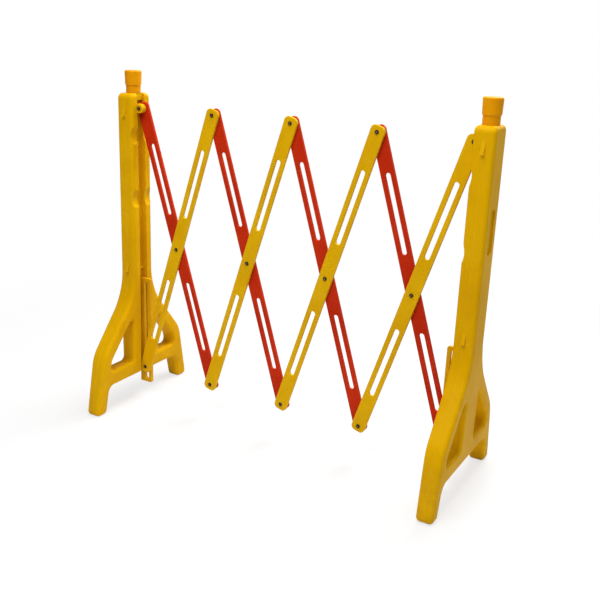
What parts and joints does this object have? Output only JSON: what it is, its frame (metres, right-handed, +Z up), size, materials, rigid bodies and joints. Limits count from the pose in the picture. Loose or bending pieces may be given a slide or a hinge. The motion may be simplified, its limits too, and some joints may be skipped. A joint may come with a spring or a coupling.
{
  "type": "expandable barrier",
  "caption": "Free-standing expandable barrier with hollow A-leg end posts and screw filler caps, joined by a folding scissor lattice of slotted red and yellow bars.",
  "frame": {"origin": "on the floor, midway between the posts and in the mid-plane of the lattice", "axes": "+X along the lattice to the right-hand post, +Y to the rear, +Z up"},
  "size_m": [1.0676, 0.4122, 0.96],
  "materials": {
    "post_yellow": "satin",
    "bar_yellow": "satin",
    "bar_red": "satin",
    "cap_orange": "satin",
    "guide_yellow": "satin",
    "seal_rubber": "matt",
    "dark_steel": "satin black",
    "nylon": "matt"
  },
  "bodies": {
    "left_post": {"left_post": "post_yellow", "left_guide_plate": "guide_yellow", "left_guide_screws": "dark_steel", "left_post_bolt": "dark_steel", "left_post_nut": "dark_steel", "left_post_spacer": "nylon"},
    "left_seal": {"left_cap_seal": "seal_rubber"},
    "left_cap": {"left_fill_cap": "cap_orange"},
    "right_post": {"right_post": "post_yellow", "right_guide_plate": "guide_yellow", "right_guide_screws": "dark_steel", "right_post_bolt": "dark_steel", "right_post_nut": "dark_steel", "right_post_spacer": "nylon"},
    "right_seal": {"right_cap_seal": "seal_rubber"},
    "right_cap": {"right_fill_cap": "cap_orange"},
    "red_1": {"red_bar_1": "bar_red"},
    "yellow_1": {"yellow_bar_1": "bar_yellow", "pivot_bolts_1": "dark_steel", "pivot_nuts_1": "dark_steel", "pivot_spacers_1": "nylon", "left_slide_bolt": "dark_steel", "left_slide_bush": "nylon", "left_slide_nut": "dark_steel"},
    "red_2": {"red_bar_2": "bar_red"},
    "yellow_2": {"yellow_bar_2": "bar_yellow", "pivot_bolts_2": "dark_steel", "pivot_nuts_2": "dark_steel", "pivot_spacers_2": "nylon"},
    "red_3": {"red_bar_3": "bar_red"},
    "yellow_3": {"yellow_bar_3": "bar_yellow", "pivot_bolts_3": "dark_steel", "pivot_nuts_3": "dark_steel", "pivot_spacers_3": "nylon"},
    "red_4": {"red_bar_4": "bar_red", "right_slide_bolt": "dark_steel", "right_slide_bush": "nylon", "right_slide_nut": "dark_steel"},
    "yellow_4": {"yellow_bar_4": "bar_yellow", "pivot_bolts_4": "dark_steel", "pivot_nuts_4": "dark_steel", "pivot_spacers_4": "nylon"}
  },
  "joints": [
    {"name": "fold", "type": "hinge", "parent": "left_post", "child": "red_1", "pos_m": [-0.4758, 0, 0.86], "axis": [0, -1, 0], "range_deg": [-12.7, 33.3]},
    {"name": "cross_1", "type": "hinge", "parent": "red_1", "child": "yellow_1", "pos_m": [-0.35685, 0, 0.4781], "axis": [0, -1, 0], "range_deg": [-66.6, 25.4]},
    {"name": "peak_1", "type": "hinge", "parent": "yellow_1", "child": "red_2", "pos_m": [-0.2379, 0, 0.86], "axis": [0, -1, 0], "range_deg": [-25.4, 66.6]},
    {"name": "cross_2", "type": "hinge", "parent": "red_2", "child": "yellow_2", "pos_m": [-0.11895, 0, 0.4781], "axis": [0, -1, 0], "range_deg": [-66.6, 25.4]},
    {"name": "peak_2", "type": "hinge", "parent": "yellow_2", "child": "red_3", "pos_m": [0, 0, 0.86], "axis": [0, -1, 0], "range_deg": [-25.4, 66.6]},
    {"name": "cross_3", "type": "hinge", "parent": "red_3", "child": "yellow_3", "pos_m": [0.11895, 0, 0.4781], "axis": [0, -1, 0], "range_deg": [-66.6, 25.4]},
    {"name": "peak_3", "type": "hinge", "parent": "yellow_3", "child": "red_4", "pos_m": [0.2379, 0, 0.86], "axis": [0, -1, 0], "range_deg": [-25.4, 66.6]},
    {"name": "cross_4", "type": "hinge", "parent": "red_4", "child": "yellow_4", "pos_m": [0.35685, 0, 0.4781], "axis": [0, -1, 0], "range_deg": [-66.6, 25.4]},
    {"name": "right_post_turn", "type": "hinge", "parent": "yellow_4", "child": "right_post", "pos_m": [0.4758, 0, 0.86], "axis": [0, -1, 0], "range_deg": [-12.7, 33.3]},
    {"name": "left_cap_lift", "type": "slide", "parent": "left_post", "child": "left_seal", "axis": [0, 0, 1], "range_m": [0, 0.012]},
    {"name": "left_cap_turn", "type": "hinge", "parent": "left_seal", "child": "left_cap", "pos_m": [-0.5078, 0, 0.93], "axis": [0, 0, 1], "range_deg": [0, 1080]},
    {"name": "right_cap_lift", "type": "slide", "parent": "right_post", "child": "right_seal", "axis": [0, 0, 1], "range_m": [0, 0.012]},
    {"name": "right_cap_turn", "type": "hinge", "parent": "right_seal", "child": "right_cap", "pos_m": [0.5078, 0, 0.93], "axis": [0, 0, 1], "range_deg": [0, 1080]}
  ],
  "couplings": [
    {"joint": "cross_1", "follows": "fold", "ratio": -2},
    {"joint": "peak_1", "follows": "fold", "ratio": 2},
    {"joint": "cross_2", "follows": "fold", "ratio": -2},
    {"joint": "peak_2", "follows": "fold", "ratio": 2},
    {"joint": "cross_3", "follows": "fold", "ratio": -2},
    {"joint": "peak_3", "follows": "fold", "ratio": 2},
    {"joint": "cross_4", "follows": "fold", "ratio": -2},
    {"joint": "right_post_turn", "follows": "fold", "ratio": 1},
    {"joint": "left_cap_turn", "follows": "left_cap_lift", "rad_per_m": 1570.8},
    {"joint": "right_cap_turn", "follows": "right_cap_lift", "rad_per_m": 1570.8}
  ]
}
